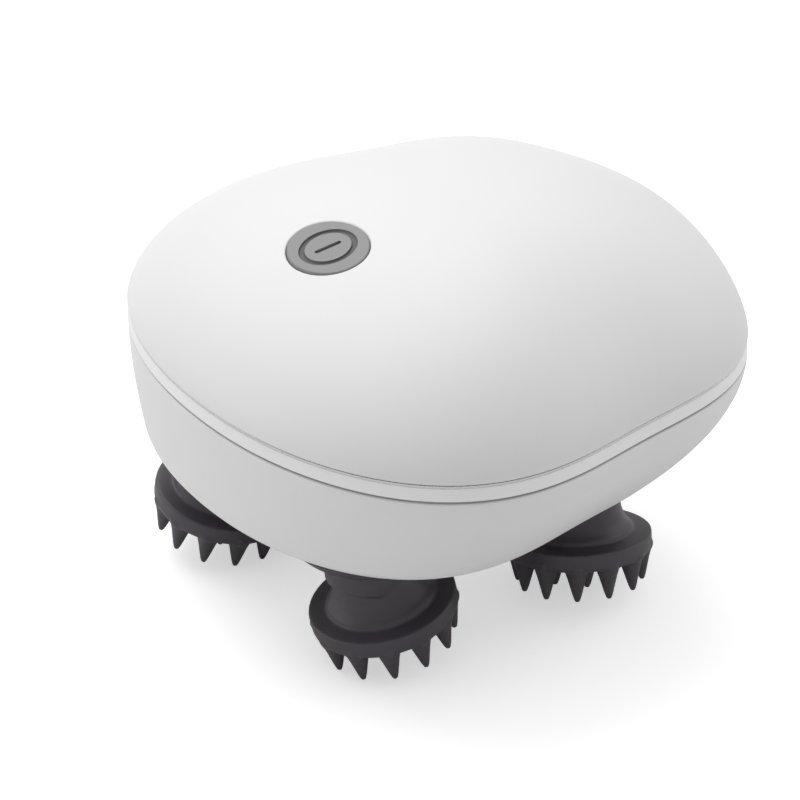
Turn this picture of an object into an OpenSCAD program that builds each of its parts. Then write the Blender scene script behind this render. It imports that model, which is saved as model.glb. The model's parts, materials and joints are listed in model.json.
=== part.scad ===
// Electric scalp massager: a palm-sized pebble body with four counter-rotating silicone claw heads.
// Origin: on the seam plane (bottom of the trim band), at the centre of the body outline.
// +X runs from the button end to the rounded end, +Z is up, all sizes in millimetres.

/* [Body shell] */
// Mean radius of the body outline at the seam
body_r = 55.1; // [55:0.1:55.5]
// Outline term with two lobes (oval)
oval_term = -0.7; // [-0.75:0.05:-0.5]
// Outline term with three lobes (egg)
egg_term = 2.05; // [1.95:0.05:2.15]
// Outline term with four lobes (squareness, negative points the corners outward)
square_term = -1.6; // [-1.7:0.05:-1.5]
// Outline term with five lobes (wide shoulders towards the button end)
shoulder_term = -0.6; // [-0.65:0.05:-0.5]
// Outline term with six lobes (waist on the flanks)
waist_term = 0.65; // [0.55:0.05:0.7]
// Outline term with seven lobes (waist nearer the rounded end)
flank_term = 0.35; // [0.3:0.05:0.4]
// Rise of the top cover above the seam stack
dome_rise = 22.7; // [22.6:0.1:24]
// How far the crown of the cover lies towards the rounded end
crown_x = 8.5; // [7:0.5:9]
// Height of the seam stack: gasket, trim band and accent strip
seam_h = 3.4; // [3.4:0.1:3.8]
// Depth of the lower housing below the seam plane
housing_depth = 19.4; // [19.4:0.1:19.6]
// How much smaller the underside is than the seam, as a fraction
housing_taper = 0.17; // [0.15:0.01:0.17]
// How far the underside leans towards the button end
housing_lean = 7.9; // [7.5:0.1:8]
// Wall thickness of the shells
wall = 2; // [1.9:0.05:2.1]

/* [Claw heads] */
// Centre of the square of heads along the body
heads_x = -7.2; // [-7.4:0.1:-7]
// Tilt of each head on its shaft
head_tilt = 12; // [9:0.5:12]
// Radius of the silicone pad of a head
pad_r = 13.3; // [12.5:0.1:13.5]
// Length of a claw
claw_len = 6.2; // [5:0.1:7]
// Number of claws in the outer row
outer_claws = 12; // [10:1:13]

/* [Gear train] */
// Module of the head, idler and centre gears
head_module = 0.8; // [0.8]
// Teeth on a head gear and on an idler
head_teeth = 28; // [28]
// Teeth on a centre gear
centre_teeth = 14; // [14]
// Module of the second reduction stage
stage2_module = 0.6; // [0.6]
// Teeth on the second-stage wheel
stage2_teeth = 45; // [45]
// Module of the first reduction stage
stage1_module = 0.5; // [0.5]
// Teeth on the first-stage wheel
stage1_teeth = 38; // [38]
// Teeth on the motor pinion and on the first-stage pinion
pinion_teeth = 12; // [12]
// Pressure angle of all gears
pressure_angle = 25; // [25]
// Thinning of each tooth flank for backlash
flank_relief = 0.04; // [0.03:0.01:0.05]

/* [Button] */
// Size of the oval button across the body
button_w = 17.6; // [16:0.2:18]
// Size of the oval button along the body
button_l = 13.8; // [13:0.2:14]
// Place of the button along the body
button_x = -22.1; // [-22.5:0.1:-21.5]
// Place of the button across the body
button_y = 1.2; // [0:0.1:1.5]
// Slope of the button face towards the button end
button_slope = 13; // [12:0.5:14]

/* [Battery] */
// Diameter of the cell
cell_d = 18.3; // [17.8:0.1:18.3]
// Length of the cell
cell_len = 49.8; // [48:0.1:50]

/* [Hidden] */

// Small shared sizes
run_gap = 0.04;          // radial running clearance of a shaft in a bore
seg = 72;                // corners of a shell ring
plug_gap = 0.12;         // clearance round a part that slides by hand

// Seam stack, from the seam plane upwards
rim_z = -0.3;
band_z0 = 0.2;
strip_z0 = 2.9;
cover_flat = 2.556;      // exponents of the crown's profile
cover_round = 1.488;

// Levels inside the housing
floor_t = 2.2;
floor_z = -housing_depth + floor_t;
gear_z = floor_z + 0.8;
gear_w = 5;
plate_z = gear_z + gear_w + 0.8;
plate_t = 2;
plate_top = plate_z + plate_t;
stage2_z = plate_top + 0.7;
stage2_w = 3.8;
upper_plate_z = plate_top + 5.4;
upper_plate_top = upper_plate_z + plate_t;

// Gear centres
head_pitch_r = head_module * head_teeth / 2;
centre_pitch_r = head_module * centre_teeth / 2;
stage2_reach = stage2_module * (stage2_teeth + pinion_teeth) / 2;
stage1_reach = stage1_module * (stage1_teeth + pinion_teeth) / 2;
drive_pos = [heads_x, centre_pitch_r];
reverse_pos = [heads_x, -centre_pitch_r];
first_pos = [heads_x + sqrt(stage2_reach * stage2_reach - centre_pitch_r * centre_pitch_r), 0];
motor_pos = [first_pos[0] + stage1_reach, 0];
stage2_dir = atan2(first_pos[1] - drive_pos[1], first_pos[0] - drive_pos[0]);
idler_y = head_pitch_r + 2 * centre_pitch_r;
rear_left = [heads_x - 2 * head_pitch_r, idler_y];
front_left = [heads_x + 2 * head_pitch_r, idler_y];
rear_right = [heads_x - 2 * head_pitch_r, -idler_y];
front_right = [heads_x + 2 * head_pitch_r, -idler_y];
head_places = [rear_left, front_left, rear_right, front_right];
idler_places = [[heads_x, idler_y], [heads_x, -idler_y]];
pin_places = concat([reverse_pos], idler_places);
shaft_places = [drive_pos, first_pos];

// Direction in which each pad rises at rest, in degrees from +X
rise_rear_left = 119;
rise_front_left = 30;
rise_rear_right = -16;
rise_front_right = -113;

// Shafts and bushes
head_shaft_r = 2.5;
head_shaft_end = -31.4;
head_shaft_top = plate_top + 0.6;
pin_r = 1.5;
pin_foot = floor_z - 1.6;
collar_r = 6.2;
collar_end = -housing_depth - 3;
bush_r = 4;
bush_flange_r = 5.2;
bush_flange_t = 0.5;

// Raised flat pad in the middle of the underside
flat_pad_r = 9;
pad_proud = 0.6;

// Head sizes, measured down the tilted axis from the pivot
pivot_z = -24;
neck_start = 2.6;
pad_top = 10.9;
pad_bottom = 14.2;
claw_collar_top = -24.6;

// Fastener places
plate_posts = [[-18.4, 33.6], [4, 33.6], [-18.4, -33.6], [4, -33.6], [29.6, 10.6], [29.6, -10.6], [-36, 0]];
upper_posts = [[heads_x, -13], [10, -12.4], [8, 14.6], [-17, 20]];
frame_posts = [[heads_x, 41.2], [heads_x, -41.2], [-44.6, 0], [34.6, 0]];
post_r = 3;

// Battery and boards
cell_x = -29.5;
cell_z = 2.5;
saddle_y = [-11, 11];
saddle_t = 4;
board_z = 12.2;
board_t = 1.2;
board_top = board_z + board_t;
board_post = [[-36.6, 11], [-36.6, -11], [-17.6, 11], [-17.6, -11]];
button_top = 23.5;
flange_z = 17.3;
stem_r = 1.9;
socket_x = 43;
socket_len = 6.8;
port_x = 52.5;
port_z = -6;
plug_len = 2.9;

// ---------- outline and shells ----------

function outline_r(t) = body_r + oval_term * cos(2 * t) + egg_term * cos(3 * t)
    + square_term * cos(4 * t) + shoulder_term * cos(5 * t) + waist_term * cos(6 * t)
    + flank_term * cos(7 * t);

// One ring of the body at height z, drawn in from the outline by inset
function flat_ring(inset, z) = [for (i = [0:seg - 1])
    let (t = i * 360 / seg, r = outline_r(t) - inset)
    [r * cos(t), r * sin(t), z]];

// One ring of the top cover: reach runs from 0 at the crown to 1 at the seam
function cover_ring(reach, inset, rise) = [for (i = [0:seg - 1])
    let (t = i * 360 / seg, r = (outline_r(t) - inset) * reach)
    [crown_x * (1 - reach) + r * cos(t), r * sin(t),
     seam_h + rise * pow(max(0, 1 - pow(reach, cover_flat)), 1 / cover_round)]];

// One ring of the lower housing: depth runs from 0 at the seam to 1 at the underside
function housing_ring(depth, inset) = [for (i = [0:seg - 1])
    let (t = i * 360 / seg, g = depth * depth, r = (outline_r(t) - inset) * (1 - housing_taper * g))
    [r * cos(t) - housing_lean * g, r * sin(t), -housing_depth * depth]];

// Closed shell through a list of rings, with a point at each end
module ring_shell(rings, first_point, last_point) {
    n = len(rings);
    pts = concat([for (ring = rings) each ring], [first_point, last_point]);
    first_cap = [for (i = [0:seg - 1]) [n * seg, (i + 1) % seg, i]];
    last_cap = [for (i = [0:seg - 1])
        [n * seg + 1, (n - 1) * seg + i, (n - 1) * seg + (i + 1) % seg]];
    sides = [for (j = [0:n - 2]) for (i = [0:seg - 1]) for (half = [0, 1])
        let (a = j * seg + i, b = j * seg + (i + 1) % seg, c = a + seg, d = b + seg)
        half == 0 ? [a, b, d] : [a, d, c]];
    polyhedron(points = pts, faces = concat(first_cap, sides, last_cap), convexity = 6);
}

module outline_2d(inset) {
    polygon([for (i = [0:seg - 1])
        let (t = i * 360 / seg, r = outline_r(t) - inset)
        [r * cos(t), r * sin(t)]]);
}

module flat_band(z0, z1, inset_out, inset_in) {
    translate([0, 0, z0])
        linear_extrude(z1 - z0)
            difference() {
                outline_2d(inset_out);
                outline_2d(inset_in);
            }
}

function oval(w, l) = [for (i = [0:47]) [l / 2 * cos(i * 7.5), w / 2 * sin(i * 7.5)]];

module oval_prism(w, l, z0, z1) {
    translate([button_x, button_y, z0])
        linear_extrude(z1 - z0)
            polygon(oval(w, l));
}

// Everything above the sloped plane of the button face, shifted up by lift
module above_button_face(lift) {
    translate([button_x, button_y, button_top + lift])
        rotate([0, -button_slope, 0])
            translate([-30, -30, 0])
                cube([60, 60, 30]);
}

module top_cover() {
    reaches = [for (k = [1:10]) 1 - pow(1 - k / 10, 2)];
    outer = [for (r = reaches) cover_ring(r, 0, dome_rise)];
    inner = [for (k = [8:-1:1]) cover_ring(reaches[k - 1], wall, dome_rise - wall)];
    lip = [flat_ring(wall + 0.2, seam_h), flat_ring(wall + 0.2, 0.9),
           flat_ring(wall + 1.4, 0.9), flat_ring(wall + 1.4, seam_h + 2.2)];
    color("white")
        difference() {
            union() {
                ring_shell(concat(outer, lip, inner),
                           [crown_x, 0, seam_h + dome_rise],
                           [crown_x, 0, seam_h + dome_rise - wall]);
                button_guide();
            }
            oval_prism(button_w + 2 * plug_gap, button_l + 2 * plug_gap, 10, 40);
            // clicks of the lip that catch the trim band
            for (a = [20:40:340])
                rotate([0, 0, a])
                    translate([outline_r(a) - wall - 0.75, -3, 1.4])
                        cube([0.6, 6, 0.8]);
        }
}

// Tube under the cover that keeps the button cap square
module button_guide() {
    difference() {
        oval_prism(button_w + 6.4, button_l + 6.4, flange_z - 0.8, 30);
        oval_prism(button_w + 3.4, button_l + 3.4, flange_z - 1, 31);
        above_button_face(-1.1);
    }
}

module accent_strip() {
    color("silver")
        flat_band(strip_z0, seam_h, 0.35, wall + 0.1);
}

module trim_band() {
    color("white")
        difference() {
            union() {
                flat_band(band_z0, strip_z0, 0, wall + 0.1);
                flat_band(-2, band_z0, wall + 0.5, wall + 1.6);
                flat_band(band_z0, 0.8, wall + 0.05, wall + 1.6);
                for (p = frame_posts)
                    frame_lug(p);
            }
            for (p = frame_posts)
                translate([p[0], p[1], -3])
                    cylinder(h = 5, r = 1.1, $fn = 32);
        }
}

// Arm from the trim band to the top of a housing post
module frame_lug(p) {
    a = atan2(p[1], p[0]);
    reach = outline_r(a) - wall - 1.1 - norm(p);
    translate([p[0], p[1], rim_z + 0.2]) {
        cylinder(h = 0.9, r = post_r, $fn = 48);
        rotate([0, 0, a])
            translate([0, -post_r, 0])
                cube([reach, 2 * post_r, 0.9]);
    }
    translate([p[0], p[1], rim_z + 0.2])
        cylinder(h = 3.2, r = 2.2, $fn = 48);
}

module seam_gasket() {
    color("dimgray")
        flat_band(rim_z, band_z0, 0.7, wall - 0.1);
}

module lower_housing() {
    outer = concat([housing_ring(-rim_z / housing_depth, 0)],
                   [for (f = [0.15, 0.3, 0.45, 0.6, 0.72, 0.82, 0.9]) housing_ring(f, 0)],
                   [housing_ring(0.965, 0.5), housing_ring(1, 2)]);
    inner_floor = -floor_z / housing_depth;
    inner = [housing_ring(inner_floor, wall + 1.5), housing_ring(inner_floor - 0.05, wall),
             housing_ring(0.66, wall), housing_ring(0.44, wall), housing_ring(0.22, wall),
             housing_ring(-rim_z / housing_depth, wall)];
    color("whitesmoke")
        difference() {
            union() {
                ring_shell(concat(inner, outer),
                           [-housing_lean, 0, floor_z], [-housing_lean, 0, -housing_depth]);
                for (p = head_places)
                    translate([p[0], p[1], collar_end])
                        cylinder(h = -housing_depth - collar_end + 0.5, r = collar_r, $fn = 64);
                for (p = plate_posts)
                    translate([p[0], p[1], floor_z - 0.5])
                        cylinder(h = plate_z - floor_z + 0.5, r = post_r, $fn = 48);
                for (p = frame_posts)
                    translate([p[0], p[1], floor_z - 0.5])
                        cylinder(h = rim_z - floor_z + 0.5, r = post_r, $fn = 48);
                for (p = concat(shaft_places, pin_places))
                    translate([p[0], p[1], floor_z - 0.5])
                        cylinder(h = 1, r = post_r, $fn = 48);
                translate([heads_x, 0, -housing_depth - pad_proud])
                    cylinder(h = pad_proud + 0.5, r = flat_pad_r, $fn = 96);
                port_rails();
            }
            for (p = head_places)
                translate([p[0], p[1], collar_end - 1])
                    cylinder(h = 10, r = bush_r, $fn = 64);
            for (p = plate_posts)
                translate([p[0], p[1], plate_z - 5.4])
                    cylinder(h = 6, r = 0.9, $fn = 32);
            for (p = frame_posts)
                translate([p[0], p[1], 0]) {
                    translate([0, 0, -housing_depth - 1])
                        cylinder(h = 10, r = 2.3, $fn = 48);
                    translate([0, 0, -housing_depth])
                        cylinder(h = housing_depth + 2, r = 1.1, $fn = 32);
                }
            for (p = shaft_places)
                translate([p[0], p[1], pin_foot])
                    cylinder(h = 5, r = pin_r + run_gap, $fn = 48);
            for (p = pin_places)
                translate([p[0], p[1], pin_foot])
                    cylinder(h = 5, r = pin_r, $fn = 48);
            port_slot(plug_gap);
        }
}

// Ledge inside the rounded end that carries the charge board
module port_rails() {
    for (y = [-6.4, 4.4])
        translate([40, y, -12])
            cube([7.4, 2, 3]);
}

// Rounded slot for the charging plug
module port_slot(gap) {
    translate([port_x - 6, 0, port_z])
        rounded_bar(12, 3, 1.8 + gap);
}

// Pan-head screw pointing down from its seat, or up when flipped
module pan_screw(r, len, head_r, head_h) {
    difference() {
        union() {
            translate([0, 0, -len])
                cylinder(h = len, r = r, $fn = 32);
            cylinder(h = head_h, r = head_r, $fn = 48);
        }
        for (a = [0, 90])
            rotate([0, 0, a])
                translate([-head_r * 0.6, -0.25, head_h * 0.45])
                    cube([head_r * 1.2, 0.5, head_h]);
    }
}

module housing_screws() {
    color("silver")
        for (p = frame_posts)
            translate([p[0], p[1], -housing_depth + 9])
                rotate([180, 0, 0])
                    pan_screw(1.1, 11.6, 2.2, 1.4);
}

// ---------- gear train ----------

function involute(a) = tan(a) - a * PI / 180;

// Half of a tooth's angle at radius r
function half_tooth(r, m, z) =
    let (pitch_r = m * z / 2, base_r = pitch_r * cos(pressure_angle),
         roll = r > base_r ? acos(base_r / r) : 0)
    90 / z - flank_relief / pitch_r * 180 / PI + (involute(pressure_angle) - involute(roll)) * 180 / PI;

// Outline of an external spur gear with a tooth centred on +X
function gear_points(m, z) =
    let (pitch_r = m * z / 2, base_r = pitch_r * cos(pressure_angle),
         root_r = pitch_r - 1.2 * m, tip_r = pitch_r + 0.9 * m,
         start_r = max(base_r, root_r),
         radii = [for (k = [0:3]) start_r + (tip_r - start_r) * k / 3])
    [for (i = [0:z - 1])
        let (c = i * 360 / z, foot = half_tooth(start_r, m, z))
        each concat(
            [[root_r * cos(c - foot - 18 / z), root_r * sin(c - foot - 18 / z)],
             [root_r * cos(c - foot), root_r * sin(c - foot)]],
            [for (k = [root_r < start_r ? 0 : 1:3])
                let (r = radii[k], h = half_tooth(r, m, z)) [r * cos(c - h), r * sin(c - h)]],
            [for (k = [3:-1:root_r < start_r ? 0 : 1])
                let (r = radii[k], h = half_tooth(r, m, z)) [r * cos(c + h), r * sin(c + h)]],
            [[root_r * cos(c + foot), root_r * sin(c + foot)],
             [root_r * cos(c + foot + 18 / z), root_r * sin(c + foot + 18 / z)]])];

module spur_gear(m, z, z0, width, bore_r, phase) {
    translate([0, 0, z0])
        rotate([0, 0, phase])
            difference() {
                linear_extrude(width)
                    polygon(gear_points(m, z));
                translate([0, 0, -1])
                    cylinder(h = width + 2, r = bore_r, $fn = 48);
            }
}

// Spur gear with a thinner web between its rim and its hub
module webbed_gear(m, z, z0, width, bore_r, phase, rim_r, hub_r) {
    difference() {
        spur_gear(m, z, z0, width, bore_r, phase);
        for (side_z = [z0 - 1, z0 + width - 1])
            translate([0, 0, side_z])
                difference() {
                    cylinder(h = 2, r = rim_r, $fn = 64);
                    translate([0, 0, -1])
                        cylinder(h = 4, r = hub_r, $fn = 48);
                }
    }
}

module head_gear(p, phase) {
    color("ivory")
        translate([p[0], p[1], 0])
            webbed_gear(head_module, head_teeth, gear_z, gear_w, head_shaft_r, phase, 8.6, 5);
}

module idler_gear(p, phase) {
    color("ivory")
        translate([p[0], p[1], 0])
            webbed_gear(head_module, head_teeth, gear_z, gear_w, pin_r + run_gap, phase, 8.6, 4);
}

module left_idler() { idler_gear(idler_places[0], 0); }
module right_idler() { idler_gear(idler_places[1], 180 / head_teeth); }

module rear_left_gear() { head_gear(rear_left, 180 / head_teeth); }
module front_left_gear() { head_gear(front_left, 180 / head_teeth); }
module rear_right_gear() { head_gear(rear_right, 0); }
module front_right_gear() { head_gear(front_right, 0); }

module centre_drive_gear() {
    color("ivory")
        translate([drive_pos[0], drive_pos[1], 0])
            spur_gear(head_module, centre_teeth, gear_z, gear_w, pin_r, 0);
}

module reversing_gear() {
    color("ivory")
        translate([reverse_pos[0], reverse_pos[1], 0])
            spur_gear(head_module, centre_teeth, gear_z, gear_w, pin_r + run_gap, 180 / centre_teeth);
}

module second_stage_wheel() {
    color("ivory")
        translate([drive_pos[0], drive_pos[1], 0])
            webbed_gear(stage2_module, stage2_teeth, stage2_z, stage2_w, pin_r, stage2_dir, 11.6, 4);
}

module second_stage_shaft() {
    color("silver")
        translate([drive_pos[0], drive_pos[1], pin_foot + 0.1])
            cylinder(h = upper_plate_top - 0.2 - pin_foot, r = pin_r, $fn = 48);
}

module first_stage_wheel() {
    color("ivory")
        translate([first_pos[0], first_pos[1], 0])
            webbed_gear(stage1_module, stage1_teeth, gear_z + 0.6, 3.6, pin_r, 0, 7.6, 4);
}

module first_stage_pinion_shaft() {
    color("silver")
        translate([first_pos[0], first_pos[1], 0])
            union() {
                translate([0, 0, pin_foot + 0.1])
                    cylinder(h = upper_plate_top - 0.2 - pin_foot, r = pin_r, $fn = 48);
                translate([0, 0, stage2_z - 0.2])
                    rotate([0, 0, stage2_dir + 180 + 180 / pinion_teeth])
                        linear_extrude(stage2_w + 0.4)
                            polygon(gear_points(stage2_module, pinion_teeth));
            }
}

module idler_pins() {
    color("silver")
        for (p = pin_places)
            translate([p[0], p[1], pin_foot])
                cylinder(h = plate_top - 0.2 - pin_foot, r = pin_r, $fn = 48);
}

module plate_2d() {
    polygon([[-41, -8], [-35, -29], [-24, -37.2], [9, -37.2], [22, -30], [33.6, -14],
             [33.6, -8], [30, -4], [30, 4], [33.6, 8], [33.6, 14], [22, 30], [9, 37.2],
             [-24, 37.2], [-35, 29], [-41, 8]]);
}

module gear_plate() {
    color("gainsboro")
        difference() {
            union() {
                translate([0, 0, plate_z])
                    linear_extrude(plate_t)
                        plate_2d();
                for (p = upper_posts)
                    translate([p[0], p[1], plate_top - 0.5])
                        cylinder(h = upper_plate_z - plate_top + 0.5, r = 2.6, $fn = 48);
            }
            for (p = head_places)
                translate([p[0], p[1], plate_z - 1])
                    cylinder(h = 4, r = 3.6, $fn = 64);
            for (p = shaft_places)
                translate([p[0], p[1], plate_z - 1])
                    cylinder(h = 4, r = 2.4, $fn = 48);
            for (p = pin_places)
                translate([p[0], p[1], plate_z - 1])
                    cylinder(h = 4, r = pin_r, $fn = 48);
            for (p = plate_posts)
                translate([p[0], p[1], plate_z - 1])
                    cylinder(h = 4, r = 1.1, $fn = 32);
            for (p = upper_posts)
                translate([p[0], p[1], plate_top - 0.4])
                    cylinder(h = 8, r = 0.8, $fn = 32);
            for (y = saddle_y)
                translate([cell_x - 2, y, plate_z - 1])
                    cylinder(h = 4, r = 0.9, $fn = 32);
            translate([motor_pos[0], motor_pos[1], plate_z - 1])
                cylinder(h = 4, r = 3.1, $fn = 48);
            for (y = [-motor_screw_y, motor_screw_y])
                translate([motor_pos[0], y, plate_z - 1])
                    cylinder(h = 4, r = 1.1, $fn = 32);
        }
}

module gear_plate_screws() {
    color("silver")
        for (p = plate_posts)
            translate([p[0], p[1], plate_top])
                pan_screw(0.9, 6.8, 2, 1.2);
}

module upper_gear_plate() {
    color("gainsboro")
        difference() {
            translate([0, 0, upper_plate_z])
                linear_extrude(plate_t)
                    polygon([[-20.2, 17.2], [-20.2, 23.4], [-15, 23.4], [8, 18.2], [11.6, 16],
                             [12.9, 10], [12.9, -14], [10, -16], [heads_x, -16.4], [-11, -14],
                             [-14.4, 0], [-14.4, 15.4]]);
            for (p = shaft_places)
                translate([p[0], p[1], upper_plate_z - 1])
                    cylinder(h = 4, r = pin_r + run_gap, $fn = 48);
            for (p = upper_posts)
                translate([p[0], p[1], upper_plate_z - 1])
                    cylinder(h = 4, r = 1, $fn = 32);
        }
}

module upper_plate_screws() {
    color("silver")
        for (p = upper_posts)
            translate([p[0], p[1], upper_plate_top])
                pan_screw(0.8, 6.6, 1.8, 1.1);
}

// ---------- heads ----------

module lower_bushes() {
    color("goldenrod")
        for (p = head_places)
            translate([p[0], p[1], 0])
                difference() {
                    union() {
                        translate([0, 0, collar_end])
                            cylinder(h = floor_z - collar_end, r = bush_r, $fn = 64);
                        translate([0, 0, floor_z])
                            cylinder(h = bush_flange_t, r = bush_flange_r, $fn = 64);
                    }
                    translate([0, 0, collar_end - 1])
                        cylinder(h = 10, r = head_shaft_r + run_gap, $fn = 64);
                }
}

module upper_bushes() {
    color("goldenrod")
        for (p = head_places)
            translate([p[0], p[1], 0])
                difference() {
                    union() {
                        translate([0, 0, plate_z])
                            cylinder(h = plate_t, r = 3.6, $fn = 64);
                        translate([0, 0, plate_z - bush_flange_t])
                            cylinder(h = bush_flange_t, r = 4.8, $fn = 64);
                    }
                    translate([0, 0, plate_z - 1])
                        cylinder(h = 5, r = head_shaft_r + run_gap, $fn = 64);
                }
}

// Soft skirts that close the shaft openings in the underside
module skirt_seals() {
    color("#3c393e")
        for (p = head_places)
            translate([p[0], p[1], -housing_depth])
                rotate_extrude($fn = 96)
                    polygon([[collar_r, 0], [14.8, 0], [15, -0.6], [13.6, -1.8], [11.2, -3.2],
                             [9.2, -4.3], [8.2, -4.8], [2.8, -4.8], [2.8, -3], [collar_r, -3]]);
}

// Flat that keys a head core to its shaft
module shaft_flat() {
    translate([head_shaft_r - 0.6, -head_shaft_r, head_shaft_end - 1])
        cube([2, 2 * head_shaft_r, 6.6]);
}

module head_shaft(p, rise) {
    color("silver")
        translate([p[0], p[1], 0])
            rotate([0, 0, rise])
                difference() {
                    translate([0, 0, head_shaft_end])
                        cylinder(h = head_shaft_top - head_shaft_end, r = head_shaft_r, $fn = 64);
                    shaft_flat();
                }
}

// Places its children in a head's frame: pivot on the shaft axis, -Z down the tilted axis
module tilted(p, rise) {
    translate([p[0], p[1], pivot_z])
        rotate([0, 0, rise])
            rotate([0, -head_tilt, 0])
                children();
}

// Stiff core: a sleeve on the shaft that carries a tilted disc
module core_solid(p, rise) {
    translate([p[0], p[1], head_shaft_end - 1])
        cylinder(h = claw_collar_top - 0.8 - head_shaft_end + 1, r = 4.6, $fn = 48);
    tilted(p, rise) {
        translate([0, 0, -12.6])
            cylinder(h = 7, r = 4.6, $fn = 48);
        translate([0, 0, -12.6])
            cylinder(h = 1.6, r = 9.6, $fn = 64);
    }
}

module head_core(p, rise) {
    color("slategray")
        difference() {
            core_solid(p, rise);
            translate([p[0], p[1], 0])
                rotate([0, 0, rise])
                    difference() {
                        translate([0, 0, head_shaft_end])
                            cylinder(h = 20, r = head_shaft_r, $fn = 64);
                        shaft_flat();
                    }
        }
}

module claw_ring(count, ring_r, len, turn) {
    for (i = [0:count - 1])
        rotate([0, 0, turn + i * 360 / count])
            translate([ring_r, 0, -pad_bottom - len])
                cylinder(h = len + 0.4, r1 = 0.5, r2 = 2, $fn = 24);
}

module head_claws(p, rise) {
    color("#3c393e")
        difference() {
            union() {
                translate([p[0], p[1], claw_collar_top - 4.4])
                    cylinder(h = 4.4, r = 7.8, $fn = 64);
                tilted(p, rise) {
                    rotate_extrude($fn = 96)
                        polygon([[0, -neck_start], [7.2, -neck_start], [7.9, -5], [8.6, -7.6],
                                 [9.7, -9.4], [10.8, -9.9], [10.9, -pad_top + 0.1],
                                 [12.3, -pad_top], [pad_r - 0.2, -pad_top - 0.7],
                                 [pad_r, -pad_top - 1.5], [pad_r - 0.1, -pad_bottom + 0.8],
                                 [pad_r - 0.7, -pad_bottom], [0, -pad_bottom]]);
                    claw_ring(outer_claws, pad_r - 2.5, claw_len, 15);
                    claw_ring(6, 6, claw_len - 0.8, 0);
                    claw_ring(1, 0, claw_len - 1.2, 0);
                }
            }
            core_solid(p, rise);
            translate([p[0], p[1], claw_collar_top - 2])
                cylinder(h = 4, r = 3.2, $fn = 48);
        }
}

module rear_left_shaft() { head_shaft(rear_left, rise_rear_left); }
module rear_left_core() { head_core(rear_left, rise_rear_left); }
module rear_left_claws() { head_claws(rear_left, rise_rear_left); }
module front_left_shaft() { head_shaft(front_left, rise_front_left); }
module front_left_core() { head_core(front_left, rise_front_left); }
module front_left_claws() { head_claws(front_left, rise_front_left); }
module rear_right_shaft() { head_shaft(rear_right, rise_rear_right); }
module rear_right_core() { head_core(rear_right, rise_rear_right); }
module rear_right_claws() { head_claws(rear_right, rise_rear_right); }
module front_right_shaft() { head_shaft(front_right, rise_front_right); }
module front_right_core() { head_core(front_right, rise_front_right); }
module front_right_claws() { head_claws(front_right, rise_front_right); }

// ---------- motor ----------

motor_r = 10.2;
motor_flat = 15.4;
can_len = 23;
can_wall = 1;
motor_shaft_r = 1;
motor_screw_y = 6;

module flatted_disc(r, flat, h) {
    intersection() {
        cylinder(h = h, r = r, $fn = 96);
        translate([-flat / 2, -r - 1, -1])
            cube([flat, 2 * r + 2, h + 2]);
    }
}

module motor_can() {
    color("silver")
        translate([motor_pos[0], motor_pos[1], plate_top])
            difference() {
                union() {
                    flatted_disc(motor_r, motor_flat, can_len);
                    translate([0, 0, -1.3])
                        cylinder(h = 1.5, r = 3, $fn = 48);
                }
                translate([0, 0, can_wall])
                    flatted_disc(motor_r - can_wall, motor_flat - 2 * can_wall, can_len);
                translate([0, 0, -2])
                    cylinder(h = 5, r = motor_shaft_r + run_gap, $fn = 48);
                for (y = [-motor_screw_y, motor_screw_y])
                    translate([0, y, -1])
                        cylinder(h = 3, r = 1, $fn = 32);
            }
}

module motor_magnets() {
    color("dimgray")
        translate([motor_pos[0], motor_pos[1], plate_top + 4])
            for (side = [0, 180])
                rotate([0, 0, side])
                    difference() {
                        intersection() {
                            cylinder(h = 15, r = motor_r - can_wall, $fn = 96);
                            translate([-5, 2, 0])
                                cube([10, 10, 15]);
                        }
                        translate([0, 0, -1])
                            cylinder(h = 17, r = 7, $fn = 64);
                    }
}

module motor_end_cap() {
    color("white")
        translate([motor_pos[0], motor_pos[1], plate_top + can_len])
            difference() {
                union() {
                    flatted_disc(motor_r, motor_flat, 1.6);
                    translate([0, 0, 1.6])
                        cylinder(h = 1, r = 3, $fn = 48);
                }
                translate([0, 0, -1])
                    cylinder(h = 2.9, r = motor_shaft_r + run_gap, $fn = 48);
            }
}

module motor_terminals() {
    color("goldenrod")
        translate([motor_pos[0], motor_pos[1], plate_top + can_len + 1.6])
            for (y = [-7, 6.5])
                translate([-1.2, y, 0])
                    difference() {
                        cube([2.4, 0.5, 3]);
                        translate([1.2, -1, 1.9])
                            rotate([-90, 0, 0])
                                cylinder(h = 3, r = 0.5, $fn = 24);
                    }
}

module motor_screws() {
    color("silver")
        for (y = [-motor_screw_y, motor_screw_y])
            translate([motor_pos[0], y, plate_z])
                rotate([180, 0, 0])
                    pan_screw(1, 3.6, 1.9, 1);
}

module motor_shaft() {
    color("silver")
        translate([motor_pos[0], motor_pos[1], gear_z + 0.3])
            cylinder(h = plate_top + can_len + 1.4 - gear_z, r = motor_shaft_r, $fn = 48);
}

module motor_armature() {
    color("brown")
        translate([motor_pos[0], motor_pos[1], plate_top + 5])
            difference() {
                union() {
                    translate([0, 0, -0.6])
                        cylinder(h = 14.2, r = 2.2, $fn = 48);
                    for (a = [0, 120, 240])
                        rotate([0, 0, a]) {
                            translate([0, -1.1, 0])
                                cube([5.4, 2.2, 13]);
                            armature_shoe();
                        }
                }
                translate([0, 0, -1])
                    cylinder(h = 17, r = motor_shaft_r, $fn = 48);
            }
}

// Curved end of one armature pole
module armature_shoe() {
    intersection() {
        difference() {
            cylinder(h = 13, r = 6.5, $fn = 64);
            translate([0, 0, -1])
                cylinder(h = 15, r = 5, $fn = 64);
        }
        translate([2, -3.6, 0])
            cube([6, 7.2, 13]);
    }
}

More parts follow.
